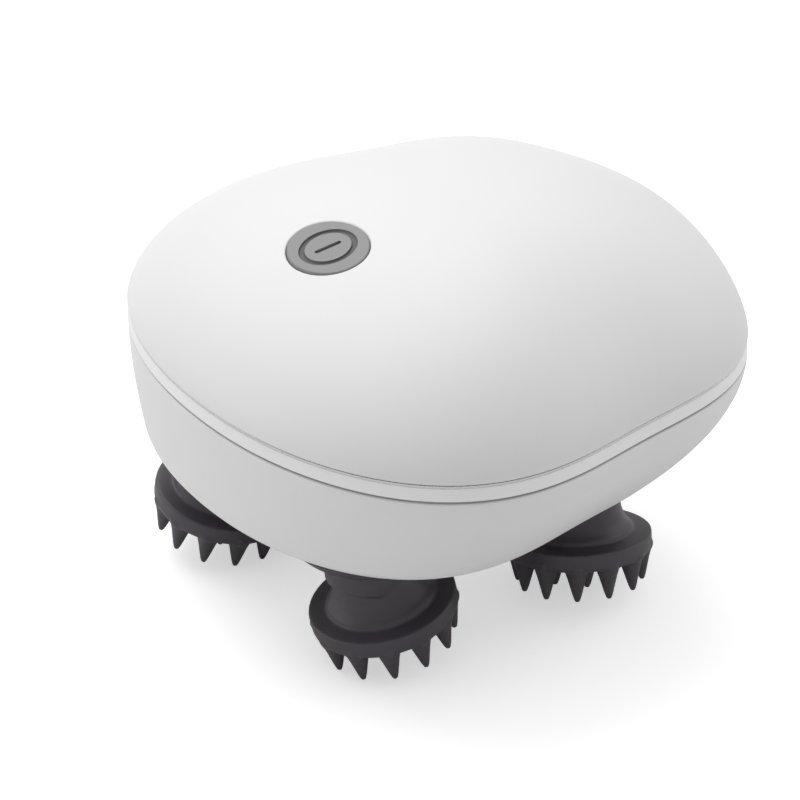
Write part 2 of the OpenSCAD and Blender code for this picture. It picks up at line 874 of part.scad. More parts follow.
module motor_pinion() {
    color("goldenrod")
        translate([motor_pos[0], motor_pos[1], 0])
            spur_gear(stage1_module, pinion_teeth, gear_z + 0.3, 4.2, motor_shaft_r, 180 / pinion_teeth);
}

// ---------- battery, boards and wiring ----------

module battery_cell() {
    color("seagreen")
        translate([cell_x, -cell_len / 2, cell_z])
            rotate([-90, 0, 0]) {
                cylinder(h = cell_len - 0.8, r = cell_d / 2, $fn = 96);
                translate([0, 0, cell_len - 0.8])
                    cylinder(h = 0.8, r = 3, $fn = 48);
            }
}

module battery_cradle() {
    color("gray")
        difference() {
            union() {
                translate([-38, -13, plate_top])
                    cube([15.4, 26, 1.4]);
                for (y = saddle_y)
                    translate([0, y + saddle_t / 2, 0])
                        rotate([90, 0, 0])
                            linear_extrude(saddle_t)
                                polygon([[-38, plate_top], [-22.6, plate_top], [-22.6, -3.4],
                                         [-19.6, -1], [-15.4, -1], [-15.4, board_z], [-19.6, board_z],
                                         [-19.6, 5], [-34.6, 5], [-34.6, board_z],
                                         [-39, board_z], [-40.4, 8], [-40.4, -1], [-38, -3.4]]);
            }
            translate([cell_x, -30, cell_z])
                rotate([-90, 0, 0])
                    cylinder(h = 60, r = cell_d / 2 + 0.1, $fn = 96);
            for (p = board_post)
                translate([p[0], p[1], 8.4])
                    cylinder(h = 6, r = 0.8, $fn = 32);
            for (y = saddle_y)
                translate([cell_x - 2, y, plate_top - 1])
                    cylinder(h = 3, r = 0.9, $fn = 32);
            // room for the head of the plate screw under the cell
            translate([plate_posts[6][0], plate_posts[6][1], plate_top - 1])
                cylinder(h = 4, r = 2.4, $fn = 48);
        }
}

module cradle_screws() {
    color("silver")
        for (y = saddle_y)
            translate([cell_x - 2, y, plate_z])
                rotate([180, 0, 0])
                    pan_screw(0.9, 3.2, 1.9, 0.6);
}

module control_board() {
    color("darkgreen")
        difference() {
            translate([0, 0, board_z])
                linear_extrude(board_t)
                    polygon([[-35, -14], [-12, -14], [-12, 14], [-35, 14], [-39, 11], [-39, -11]]);
            for (p = board_post)
                translate([p[0], p[1], board_z - 1])
                    cylinder(h = 4, r = 0.9, $fn = 32);
        }
}

module board_components() {
    color("#222222")
        translate([0, 0, board_top]) {
            translate([-34, -12, 0])
                cube([6, 5, 1]);
            translate([-18, 4, 0])
                cube([4, 4, 1.2]);
            translate([-17, -4, 0])
                cube([3, 2, 0.8]);
            translate([-24.4, -9, 0])
                cylinder(h = 1.6, r = 2.4, $fn = 32);
            for (i = [0:3])
                translate([-34 + 2.6 * i, 10.4, 0])
                    cube([1.6, 0.8, 0.6]);
        }
}

module board_screws() {
    color("silver")
        for (p = board_post)
            translate([p[0], p[1], board_top])
                pan_screw(0.8, 4.2, 1.7, 1);
}

module tact_switch() {
    color("#303030")
        translate([button_x, button_y, board_top])
            difference() {
                translate([-3, -3, 0])
                    cube([6, 6, 1.8]);
                translate([0, 0, 0.4])
                    cylinder(h = 3, r = 1.7 + run_gap, $fn = 48);
            }
}

module switch_plunger() {
    color("tan")
        translate([button_x, button_y, board_top + 1.1])
            cylinder(h = 1.7, r = 1.7, $fn = 48);
}

module button_cap() {
    color("#a2a2a2")
        difference() {
            union() {
                oval_prism(button_w, button_l, flange_z, 30);
                oval_prism(button_w + 2.8, button_l + 2.8, flange_z, flange_z + 1);
                translate([button_x, button_y, board_top + 2.8])
                    cylinder(h = flange_z + 2 - board_top - 2.3, r = stem_r, $fn = 48);
            }
            above_button_face(0);
            // ring and bar of the power symbol
            translate([button_x, button_y, button_top])
                rotate([0, -button_slope, 0]) {
                    translate([0, 0, -0.35])
                        difference() {
                            cylinder(h = 2, r = 5.4, $fn = 64);
                            translate([0, 0, -1])
                                cylinder(h = 4, r = 4.4, $fn = 64);
                        }
                    translate([-2.4, -0.35, -0.45])
                        cube([4.8, 0.7, 2]);
                }
            // hollow underneath, round the stem
            difference() {
                oval_prism(button_w - 3, button_l - 3, flange_z - 1, flange_z + 2);
                translate([button_x, button_y, board_top])
                    cylinder(h = 10, r = stem_r, $fn = 48);
            }
        }
}

module charge_board() {
    color("darkgreen")
        translate([40, -6, -9])
            cube([8.6, 12, 1]);
}

// Rounded bar along X, from x = 0 to len
module rounded_bar(len, half_w, r) {
    for (y = [-half_w, half_w])
        translate([0, y, 0])
            rotate([0, 90, 0])
                cylinder(h = len, r = r, $fn = 48);
    translate([0, -half_w, -r])
        cube([len, 2 * half_w, 2 * r]);
}

module charge_socket() {
    color("silver")
        translate([socket_x, 0, port_z]) {
            difference() {
                union() {
                    rounded_bar(socket_len, 2.9, 1.6);
                    translate([0.6, -3.6, -2])
                        cube([5, 7.2, 1.4]);
                }
                translate([1, 0, 0])
                    rounded_bar(socket_len, 2.9, 1.25);
            }
            // contact tongue
            translate([0.5, -2.4, -0.3])
                cube([socket_len - 1.7, 4.8, 0.6]);
        }
}

module port_plug() {
    color("white")
        translate([port_x - plug_len + 0.8, 0, port_z])
            union() {
                rounded_bar(plug_len, 3, 1.8);
                // pull rib
                translate([plug_len - 0.1, -2, -0.35])
                    cube([0.5, 4, 0.7]);
            }
}

// Wire through a list of points
function unit(v) = v / norm(v);

// A path with every inner corner rounded off, starting cut away from it
function rounded_path(points, cut, steps) = concat(
    [points[0]],
    [for (i = [1:len(points) - 2])
        let (corner = points[i],
             a = corner + cut * unit(points[i - 1] - corner),
             b = corner + cut * unit(points[i + 1] - corner))
            for (t = [0:1 / steps:1])
                pow(1 - t, 2) * a + 2 * t * (1 - t) * corner + t * t * b],
    [points[len(points) - 1]]);

// A wire of 12 flat sides, swept along the rounded path
module wire(points, r) {
    sides = 12;
    path = rounded_path(points, 3, 4);
    last = len(path) - 1;
    rings = [for (i = [0:last])
        let (along = unit(path[min(i + 1, last)] - path[max(i - 1, 0)]),
             across = unit(cross([0, 0, 1], along)),
             above = cross(along, across))
            for (k = [0:sides - 1])
                path[i] + r * (cos(k * 360 / sides) * across + sin(k * 360 / sides) * above)];
    flanks = [for (i = [0:last - 1], k = [0:sides - 1])
        let (a = i * sides + k, b = i * sides + (k + 1) % sides)
            each [[a, a + sides, b + sides], [a, b + sides, b]]];
    first_end = [for (k = [0:sides - 1]) k];
    last_end = [for (k = [sides - 1:-1:0]) last * sides + k];
    polyhedron(rings, concat(flanks, [first_end, last_end]), convexity = 6);
}

module wiring() {
    solder_z = board_top + 0.7;
    color("red")
        union() {
            // motor leads
            for (y = [-7.7, 7.7])
                wire([[motor_pos[0], y, 17.2], [motor_pos[0] - 6, y, 18],
                      [-6, y, 17], [-13.4, y, solder_z]], 0.6);
            // cell leads
            for (side = [-1, 1])
                wire([[cell_x, 26 * side, cell_z], [cell_x + 8, 26.6 * side, 9],
                      [-18, 20 * side, 15], [-14, 12.2 * side, solder_z]], 0.6);
            // charging leads
            for (side = [-1, 1])
                wire([[42, 4.8 * side, -7.4], [38, 12.8 * side, 0], [30, 14.4 * side, 14],
                      [4, 12 * side, 15.8], [-13.4, 2.4 * side, solder_z]], 0.5);
        }
}

top_cover();
accent_strip();
trim_band();
seam_gasket();
lower_housing();
housing_screws();
gear_plate();
gear_plate_screws();
upper_gear_plate();
upper_plate_screws();
idler_pins();
lower_bushes();
upper_bushes();
skirt_seals();
motor_can();
motor_magnets();
motor_end_cap();
motor_terminals();
motor_screws();
motor_shaft();
motor_armature();
motor_pinion();
first_stage_wheel();
first_stage_pinion_shaft();
second_stage_wheel();
second_stage_shaft();
centre_drive_gear();
reversing_gear();
left_idler();
right_idler();
rear_left_shaft();
rear_left_gear();
rear_left_core();
rear_left_claws();
front_left_shaft();
front_left_gear();
front_left_core();
front_left_claws();
rear_right_shaft();
rear_right_gear();
rear_right_core();
rear_right_claws();
front_right_shaft();
front_right_gear();
front_right_core();
front_right_claws();
battery_cell();
battery_cradle();
cradle_screws();
control_board();
board_components();
board_screws();
tact_switch();
switch_plunger();
button_cap();
charge_board();
charge_socket();
port_plug();
wiring();
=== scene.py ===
import json
import math

import bmesh
import bpy
import numpy as np
from mathutils import Matrix, Vector


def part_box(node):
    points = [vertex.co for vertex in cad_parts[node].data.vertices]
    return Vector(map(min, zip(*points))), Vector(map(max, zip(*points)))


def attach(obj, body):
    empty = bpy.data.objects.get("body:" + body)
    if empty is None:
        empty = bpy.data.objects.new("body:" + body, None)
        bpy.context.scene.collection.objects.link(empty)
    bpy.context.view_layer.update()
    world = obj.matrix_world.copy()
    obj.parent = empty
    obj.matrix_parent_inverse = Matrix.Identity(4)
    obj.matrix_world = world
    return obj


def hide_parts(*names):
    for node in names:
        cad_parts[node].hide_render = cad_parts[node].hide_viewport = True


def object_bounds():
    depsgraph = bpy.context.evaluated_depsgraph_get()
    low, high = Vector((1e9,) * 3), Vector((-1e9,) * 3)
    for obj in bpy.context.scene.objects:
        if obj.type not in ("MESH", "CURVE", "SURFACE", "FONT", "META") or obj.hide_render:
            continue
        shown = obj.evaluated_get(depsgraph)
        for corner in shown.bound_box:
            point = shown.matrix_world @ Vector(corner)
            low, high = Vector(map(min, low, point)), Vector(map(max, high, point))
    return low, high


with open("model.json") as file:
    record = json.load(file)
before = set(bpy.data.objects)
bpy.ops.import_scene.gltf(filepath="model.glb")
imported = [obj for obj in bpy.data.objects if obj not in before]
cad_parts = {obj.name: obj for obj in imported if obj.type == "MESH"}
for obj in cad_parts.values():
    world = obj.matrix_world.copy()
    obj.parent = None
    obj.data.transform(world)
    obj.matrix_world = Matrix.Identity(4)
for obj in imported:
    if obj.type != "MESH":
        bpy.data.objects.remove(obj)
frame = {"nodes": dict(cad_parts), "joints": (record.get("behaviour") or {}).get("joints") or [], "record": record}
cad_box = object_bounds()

# All shape sizes below are in millimetres; MM turns them into the scene's metres.
MM = 0.001
SEG = 288                    # points round a shell ring
TURN = np.linspace(0, 2 * math.pi, SEG, endpoint=False)


def low_z(node):
    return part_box(node)[0].z / MM


def high_z(node):
    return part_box(node)[1].z / MM


def joint_place(name):
    """Where a joint's axis stands, in mm."""
    found = next(j for j in frame["joints"] if j["name"] == name)
    return Vector(found["pos_m"]) / MM


# ---------- sizes that the shells share ----------

# The outline's radius is MEAN_RADIUS plus size * cos(lobes * turn) for each entry.
OUTLINE_TERMS = {2: -0.7, 3: 2.05, 4: -1.6, 5: -0.6, 6: 0.65, 7: 0.35}
MEAN_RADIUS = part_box("top_cover")[1].x / MM - sum(OUTLINE_TERMS.values())
WALL = 2.0
SEAM_TOP = high_z("accent_strip")
STRIP_BOTTOM = low_z("accent_strip")
BAND_BOTTOM = high_z("seam_gasket")
RIM_Z = low_z("seam_gasket")
DOME_RISE = high_z("top_cover") - SEAM_TOP
CROWN_X = 8.5                # the crown stands this far towards +X
CROWN_FLAT = 2.556           # exponents of the crown's profile
CROWN_ROUND = 1.488
PAD_PROUD = 0.6              # how far the underside pad stands out
PAD_HALF = 9
HOUSING_DEPTH = -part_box("skirt_seals")[1].z / MM
TAPER = 0.17                 # share of its radius that the housing loses at its foot
LEAN = 7.9                   # shift of the housing's foot towards -X
COLLAR_END = low_z("lower_housing")
COLLAR_R = 6.2
COLLAR_BORE_R = 4
POST_R = 3
PLATE_Z = -10.6              # tops of the posts that carry the gear plate
FLOOR_Z = -17.2              # inner floor of the housing
WELL_R = 2.3
SCREW_R = 1.1

BUTTON = Vector((-22.1, 1.3, 23.17))
BUTTON_SLOPE = math.radians(13)
BUTTON_HALF = (13.6 / 2, 16.9 / 2)
BUTTON_GAP = 0.12
FLANGE_Z = low_z("button_cap") + 1.1
STEM_R = 1.9

PORT_Z = -6
PORT_HALF_W = 3
PORT_R = 1.8
PORT_GAP = 0.12

# Each head with the direction, in degrees, towards which its pad rises
HEADS = {
    "rear_left": 119,
    "front_left": 30,
    "rear_right": -16,
    "front_right": -113,
}
HEAD_TILT = 12
PIVOT_Z = -24.0
CORE_R = 4.6                 # stiff core inside the silicone
SKIRT_R = 15.0
SCREW_PLACES = [(-7.2, 41.2), (-7.2, -41.2), (-44.6, 0), (34.6, 0)]
PLATE_POSTS = [(-18.4, 33.6), (4, 33.6), (-18.4, -33.6), (4, -33.6),
               (29.6, 10.6), (29.6, -10.6), (-36, 0)]


# ---------- mesh helpers ----------

def new_object(name, mesh):
    obj = bpy.data.objects.new(name, mesh)
    bpy.context.scene.collection.objects.link(obj)
    return obj


def soften(mesh, sharp_degrees=40):
    """Smooth shading, with true edges kept."""
    mesh.shade_smooth()
    mesh.set_sharp_from_angle(angle=math.radians(sharp_degrees))


def ring_mesh(name, rings, closed=False, poles=(None, None)):
    """Mesh through equal rings of points in mm; closed joins last to first, poles are end points."""
    bm = bmesh.new()
    rows = [[bm.verts.new(Vector(p) * MM) for p in ring] for ring in rings]
    pairs = list(zip(rows, rows[1:]))
    if closed:
        pairs.append((rows[-1], rows[0]))
    for a, b in pairs:
        for i in range(len(a)):
            k = (i + 1) % len(a)
            bm.faces.new((a[i], a[k], b[k], b[i]))
    for pole, row in zip(poles, (rows[0], rows[-1])):
        if pole is None:
            continue
        tip = bm.verts.new(Vector(pole) * MM)
        for i in range(len(row)):
            bm.faces.new((row[i], row[(i + 1) % len(row)], tip))
    bmesh.ops.recalc_face_normals(bm, faces=bm.faces)
    mesh = bpy.data.meshes.new(name)
    bm.to_mesh(mesh)
    bm.free()
    soften(mesh)
    return new_object(name, mesh)


def lathe(name, profile, count, place=(0, 0, 0)):
    """Solid of revolution about Z through (radius, z) points; ends at radius 0 become poles."""
    x, y, z = place
    angles = np.linspace(0, 2 * math.pi, count, endpoint=False)
    poles, body = [None, None], list(profile)
    if body[0][0] == 0:
        poles[0] = (x, y, z + body.pop(0)[1])
    if body[-1][0] == 0:
        poles[1] = (x, y, z + body.pop()[1])
    rings = [[(x + r * math.cos(a), y + r * math.sin(a), z + h) for a in angles] for r, h in body]
    return ring_mesh(name, rings, closed=poles == [None, None], poles=poles)


def bake_modifiers(obj):
    graph = bpy.context.evaluated_depsgraph_get()
    mesh = bpy.data.meshes.new_from_object(obj.evaluated_get(graph))
    old = obj.data
    obj.modifiers.clear()
    obj.data = mesh
    bpy.data.meshes.remove(old)


def combine(obj, tools, operation):
    """Joins tools to obj, or cuts them from it, and removes the tools."""
    for tool in tools:
        modifier = obj.modifiers.new("combine", "BOOLEAN")
        modifier.operation = operation
        modifier.solver = "MANIFOLD"
        modifier.object = tool
    bake_modifiers(obj)
    for tool in tools:
        mesh = tool.data
        bpy.data.objects.remove(tool)
        bpy.data.meshes.remove(mesh)
    soften(obj.data, 32)


def join_meshes(name, parts):
    """One object holding all the parts' meshes."""
    bm = bmesh.new()
    for part in parts:
        part.data.transform(part.matrix_world)
        bm.from_mesh(part.data)
        mesh = part.data
        bpy.data.objects.remove(part)
        bpy.data.meshes.remove(mesh)
    mesh = bpy.data.meshes.new(name)
    bm.to_mesh(mesh)
    bm.free()
    soften(mesh)
    return new_object(name, mesh)


def roll(radius, steps=6):
    """Quarter-round corner as (inward, downward) shares, from flat to upright."""
    angles = [math.pi / 2 * k / steps for k in range(steps + 1)]
    return [(radius * (1 - math.sin(a)), radius * (1 - math.cos(a))) for a in angles]


def half_turn():
    """Angles of the round end of a stadium shape."""
    return np.linspace(-math.pi / 2, math.pi / 2, 16)


# ---------- outline of the body ----------

def outline_radius(turn):
    return MEAN_RADIUS + sum(size * np.cos(n * turn) for n, size in OUTLINE_TERMS.items())


def flat_ring(inset, z):
    r = outline_radius(TURN) - inset
    return np.stack([r * np.cos(TURN), r * np.sin(TURN), np.full(SEG, z)], axis=1)


def reach_of(x, y, inset):
    """How far points lie from the crown (0) to the outline drawn in by inset (1)."""
    low, high = np.zeros_like(x), np.ones_like(x)
    for _ in range(36):
        mid = (low + high) / 2
        qx = x - CROWN_X * (1 - mid)
        limit = mid * (outline_radius(np.arctan2(y, qx)) - inset)
        beyond = np.hypot(qx, y) > limit
        low = np.where(beyond, mid, low)
        high = np.where(beyond, high, mid)
    return high


def dome_height(x, y, inset=0.0, rise=DOME_RISE):
    reach = reach_of(x, y, inset)
    fall = np.clip(1 - reach ** CROWN_FLAT, 0, 1)
    return SEAM_TOP + rise * fall ** (1 / CROWN_ROUND)


def face_height(x):
    """Height of the sloped plane of the button face."""
    return BUTTON.z + (x - BUTTON.x) * math.tan(BUTTON_SLOPE)


# Directions from the button to the points of the outline
RIM = flat_ring(0, 0)
AIM = np.arctan2(RIM[:, 1] - BUTTON.y, RIM[:, 0] - BUTTON.x)


def button_oval(grow, aim=AIM):
    """Points of the button's oval, grown by a margin, in the directions aim."""
    a, b = BUTTON_HALF[0] + grow, BUTTON_HALF[1] + grow
    r = a * b / np.hypot(b * np.cos(aim), a * np.sin(aim))
    return BUTTON.x + r * np.cos(aim), BUTTON.y + r * np.sin(aim)


def stacked(x, y, z):
    return np.stack([x, y, np.broadcast_to(z, x.shape)], axis=1)


# ---------- top cover ----------

def dome_rings(inset, rise, grow, count, edge_inset):
    """Rings from the button opening, grown by grow, out to the outline."""
    x0, y0 = button_oval(grow)
    rim = flat_ring(inset + edge_inset, 0)
    rings = []
    for k in range(count + 1):
        s = 1 - (1 - k / count) ** 2.4
        x = x0 + (rim[:, 0] - x0) * s
        y = y0 + (rim[:, 1] - y0) * s
        rings.append(stacked(x, y, dome_height(x, y, inset, rise)))
    return rings


def opening_rings():
    """Guide tube and wall of the button opening, from the inner dome up to the outer one."""
    inner_rise = DOME_RISE - WALL
    ledge_drop = 1.1
    tube_z = FLANGE_Z - 1.9
    x, y = button_oval(3.2)
    rings = [stacked(x, y, dome_height(x, y, WALL, inner_rise)), stacked(x, y, tube_z)]
    x, y = button_oval(1.7)
    rings += [stacked(x, y, tube_z), stacked(x, y, face_height(x) - ledge_drop)]
    x, y = button_oval(BUTTON_GAP)
    rings.append(stacked(x, y, face_height(x) - ledge_drop))
    for inward, down in reversed(roll(0.45)):
        x, y = button_oval(BUTTON_GAP + inward)
        rings.append(stacked(x, y, dome_height(x, y) - down))
    return rings


def top_cover():
    """Domed shell with its button opening, a small edge at the foot and a locating lip."""
    edge = 0.14
    outer = dome_rings(0, DOME_RISE, BUTTON_GAP + 0.7, 70, 0.06)
    foot = [flat_ring(inward, SEAM_TOP + down) for inward, down in reversed(roll(edge))]
    lip_out, lip_in, lip_end = WALL + 0.2, WALL + 1.4, 0.9
    lip = [flat_ring(lip_out, SEAM_TOP), flat_ring(lip_out, lip_end),
           flat_ring(lip_in, lip_end), flat_ring(lip_in, SEAM_TOP + 2.2)]
    inner = dome_rings(WALL, DOME_RISE - WALL, 3.6, 36, 1.6)[::-1]
    return ring_mesh("cover_shell", opening_rings() + outer + foot + lip + inner, closed=True)


# ---------- seam stack ----------

COVER_GAP = 0.24             # shadow line between the cover and the strip
STRIP_DROP = 0.25            # how far the strip reaches below its CAD edge
STRIP_INSET = 0.26
BAND_DRAW = 0.22             # slope of the band, from its foot to its top
GASKET_INSET = 0.3


def outline_band(name, z0, z1, inset, depth, radius, drawn_in=0.0):
    """Band along the outline with rounded outer corners; drawn_in slopes it inwards at its top."""
    top = [flat_ring(inset + drawn_in + inward, z1 - down) for inward, down in roll(radius)]
    bottom = [flat_ring(inset + inward, z0 + down) for inward, down in reversed(roll(radius))]
    back = [flat_ring(inset + depth, z0), flat_ring(inset + depth, z1)]
    return ring_mesh(name, top + bottom + back, closed=True)


def seam_pieces():
    """Grey strip, white band with painted light, and dark gasket, from the top down."""
    strip_foot = STRIP_BOTTOM - STRIP_DROP
    strip = outline_band("accent_ring", strip_foot, SEAM_TOP - COVER_GAP, STRIP_INSET, 1.4, 0.06)
    finish_piece(strip, "housing", "silver_strip", MATERIALS["silver_strip"], "accent_strip")
    band = outline_band("trim_ring", BAND_BOTTOM, strip_foot, 0, WALL, 0.12, BAND_DRAW)
    # painted light: the band's white is lighter than the shell's, for the top light its inward slope catches
    finish_piece(band, "housing", "shell_white", BAND_PAINTED_LIGHT_WHITE, "trim_band")
    gasket = outline_band("gasket_ring", RIM_Z, BAND_BOTTOM, GASKET_INSET, 1.1, 0.08)
    finish_piece(gasket, "housing", "gasket_rubber", MATERIALS["gasket_rubber"], "seam_gasket")


# ---------- lower housing ----------

def flank_hollow(z):
    """Depth of the shallow hollow that runs along both flanks, below the seam."""
    off_side = np.abs(np.sin((np.abs(np.arctan2(np.sin(TURN), np.cos(TURN))) - math.pi / 2) / 2))
    across = (z + 4.6 + 6 * off_side) / 1.3
    return 0.3 * np.exp(-across ** 2) * np.exp(-(off_side / 0.22) ** 2)


def housing_ring(depth, inset):
    g = depth * depth
    inset = inset + flank_hollow(-HOUSING_DEPTH * depth)
    r = (outline_radius(TURN) - inset) * (1 - TAPER * g)
    z = np.full(SEG, -HOUSING_DEPTH * depth)
    return np.stack([r * np.cos(TURN) - LEAN * g, r * np.sin(TURN), z], axis=1)


def housing_shell():
    rim = -RIM_Z / HOUSING_DEPTH
    edge = 0.4
    top = [housing_ring(rim + down / HOUSING_DEPTH, inward) for inward, down in roll(edge)]
    flank = [housing_ring(d, 0) for d in np.linspace(rim + 0.04, 0.9, 30)]
    bend = [housing_ring(0.9 + 0.1 * math.sin(a), 2.2 * (1 - math.cos(a)))
            for a in np.linspace(0.1, math.pi / 2, 12)]
    inner_floor = -FLOOR_Z / HOUSING_DEPTH
    inner = [housing_ring(inner_floor, WALL + 1.5)]
    inner += [housing_ring(d, WALL) for d in np.linspace(inner_floor - 0.05, rim, 12)]
    return ring_mesh("housing_shell", inner + top + flank + bend,
                     poles=((-LEAN, 0, FLOOR_Z), (-LEAN, 0, -HOUSING_DEPTH)))


def post(place, z0, z1, radius):
    return lathe("post", [(0, z0), (radius, z0), (radius, z1), (0, z1)], 48, (*place, 0))


def housing_additions():
    """Output collars, posts inside the housing and the pad underneath."""
    sunk = 0.5
    collar_top = -HOUSING_DEPTH + sunk
    collar = [post(joint_place(h + "_spin")[:2], COLLAR_END, collar_top, COLLAR_R) for h in HEADS]
    plate = [post(p, FLOOR_Z - sunk, PLATE_Z, POST_R) for p in PLATE_POSTS]
    frames = [post(p, FLOOR_Z - sunk, RIM_Z, POST_R) for p in SCREW_PLACES]
    edge = 0.3
    z = -HOUSING_DEPTH - PAD_PROUD
    root = z + 1.2
    pad_x = Vector(frame["record"]["mounts"][0]["pos_m"]).x / MM
    profile = [(0, z)] + [(PAD_HALF - inward, z + down) for inward, down in roll(edge)]
    profile += [(PAD_HALF, root), (0, root)]
    return collar + plate + frames + [lathe("pad", profile, 128, (pad_x, 0, 0))]


def screw_well(place):
    """Counterbore with a softened mouth, and the clearance hole above it."""
    mouth = -HOUSING_DEPTH
    seat = mouth + 9
    top = 2
    flare = 0.35
    profile = [(0, mouth - 1), (WELL_R + flare, mouth - 1)]
    profile += [(WELL_R + inward, mouth + down) for inward, down in roll(flare)]
    profile += [(WELL_R, seat), (SCREW_R, seat), (SCREW_R, top), (0, top)]
    return lathe("well", profile, 48, (*place, 0))


def rounded_bar_ring(x, half_w, r):
    """Ring of a stadium shape across X, at the height of the port."""
    right = [(x, half_w + r * math.cos(a), PORT_Z + r * math.sin(a)) for a in half_turn()]
    left = [(x, -half_w - r * math.cos(a), PORT_Z - r * math.sin(a)) for a in half_turn()]
    return right + left


def port_cut():
    """Cutter for the charging opening, through the wall."""
    inside, outside = 46.5, 58.5
    rings = [rounded_bar_ring(x, PORT_HALF_W, PORT_R + PORT_GAP) for x in (inside, outside)]
    return ring_mesh("port_cut", rings, poles=((inside, 0, PORT_Z), (outside, 0, PORT_Z)))


def lower_housing():
    shell = housing_shell()
    combine(shell, housing_additions(), "UNION")
    bores = [post(joint_place(h + "_spin")[:2], COLLAR_END - 1, COLLAR_END + 9, COLLAR_BORE_R)
             for h in HEADS]
    wells = [screw_well(p) for p in SCREW_PLACES]
    combine(shell, bores + wells + [port_cut()], "DIFFERENCE")
    return shell


def port_plug():
    """Soft plug that closes the charging port, with a pull rib."""
    back, front = 50.4, 53.3
    crown = 0.05
    edge = 0.3
    rings = [rounded_bar_ring(back, PORT_HALF_W, PORT_R)]
    rings += [rounded_bar_ring(front - down, PORT_HALF_W, PORT_R - inward)
              for inward, down in reversed(roll(edge))]
    plug = ring_mesh("port_cover", rings, poles=((back, 0, PORT_Z), (front + crown, 0, PORT_Z)))
    rib_foot, rib_top = front - 0.3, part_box("port_plug")[1].x / MM
    rib_half, foot_r, top_r, rib_edge = 1.7, 0.42, 0.38, 0.15
    rings = [rounded_bar_ring(rib_foot, rib_half, foot_r)]
    rings += [rounded_bar_ring(rib_top - down, rib_half, top_r - inward)
              for inward, down in reversed(roll(rib_edge))]
    rib = ring_mesh("rib", rings, poles=((rib_foot, 0, PORT_Z), (rib_top, 0, PORT_Z)))
    combine(plug, [rib], "UNION")
    return plug


# ---------- button ----------

GROOVE_IN = 4.25
GROOVE_OUT = 5.25
GROOVE_DEPTH = 0.4


def button_face_rings():
    """Rings of the button face from its centre out, with the ring groove sunk in."""
    circles = [(r, 0.0) for r in (0.6, 1.5, 2.5, 3.4, 4.0, GROOVE_IN - 0.06)]
    circles += [(GROOVE_IN + 0.1, -GROOVE_DEPTH * 0.85), (GROOVE_IN + 0.22, -GROOVE_DEPTH),
                (GROOVE_OUT - 0.22, -GROOVE_DEPTH), (GROOVE_OUT - 0.1, -GROOVE_DEPTH * 0.85)]
    circles += [(GROOVE_OUT + 0.06, 0.0), (GROOVE_OUT + 0.3, 0.0)]
    rings = []
    for r, sink in circles:
        x = BUTTON.x + r * math.cos(BUTTON_SLOPE) * np.cos(TURN)
        y = BUTTON.y + r * np.sin(TURN)
        rings.append(stacked(x, y, face_height(x) + sink))
    return rings


def button_cap():
    """Oval button with a rounded edge, a flange underneath and a stem."""
    edge = 0.28
    rings = button_face_rings()
    for inward, down in roll(edge):
        x, y = button_oval(-inward, TURN)
        rings.append(stacked(x, y, face_height(x) - down))
    flange_top, hollow_top = FLANGE_Z + 1, FLANGE_Z + 2
    for grow, z in ((0, flange_top), (1.4, flange_top), (1.4, FLANGE_Z),
                    (-1.5, FLANGE_Z), (-1.5, hollow_top)):
        x, y = button_oval(grow, TURN)
        rings.append(stacked(x, y, z))
    stem_end = low_z("button_cap")
    for z in (hollow_top, stem_end):
        rings.append(stacked(BUTTON.x + STEM_R * np.cos(TURN), BUTTON.y + STEM_R * np.sin(TURN), z))
    cap = ring_mesh("power_button", rings, poles=(tuple(BUTTON), (BUTTON.x, BUTTON.y, stem_end)))
    combine(cap, [bar_cutter()], "DIFFERENCE")
    return cap


def bar_cutter():
    """Rounded bar that cuts the stroke of the power symbol."""
    half_len, r, depth, turn = 2.1, 0.46, 0.45, -9
    above = 2.0
    outline = [(half_len + r * math.cos(a), r * math.sin(a)) for a in half_turn()]
    outline += [(-half_len - r * math.cos(a), -r * math.sin(a)) for a in half_turn()]
    rings = [[(x * grow, y * grow, z) for x, y in outline]
             for grow, z in ((0.9, -depth), (1.0, -depth + 0.12), (1.0, above))]
    cutter = ring_mesh("bar", rings, poles=((0, 0, -depth), (0, 0, above)))
    cutter.data.transform(Matrix.Translation(BUTTON * MM) @ Matrix.Rotation(-BUTTON_SLOPE, 4, "Y")
                          @ Matrix.Rotation(math.radians(turn), 4, "Z"))
    return cutter


# ---------- heads ----------

PAD_R = 13.3
PAD_BOTTOM = -14.2
CLAW_TIP_R = 0.5


def claw(ring_r, turn, length, base_r, lean):
    """One tapered claw, flared where it joins the pad, with a blunt rounded tip."""
    tip = PAD_BOTTOM - length
    root = PAD_BOTTOM + 0.9
    shape = [(0, root), (base_r + 0.5, root), (base_r + 0.25, PAD_BOTTOM), (base_r, PAD_BOTTOM - 0.35)]
    for k in (0.3, 0.55, 0.8):
        shape.append((base_r + (CLAW_TIP_R - base_r) * k, PAD_BOTTOM - length * k))
    shape += [(CLAW_TIP_R, tip + 0.25), (CLAW_TIP_R * 0.75, tip + 0.06), (0, tip)]
    part = lathe("claw", shape, 24)
    hinge = Matrix.Translation(Vector((0, 0, PAD_BOTTOM)) * MM)
    leaning = hinge @ Matrix.Rotation(math.radians(-lean), 4, "Y") @ hinge.inverted()
    place = Matrix.Rotation(math.radians(turn), 4, "Z") @ Matrix.Translation((ring_r * MM, 0, 0))
    part.data.transform(place @ leaning)
    return part


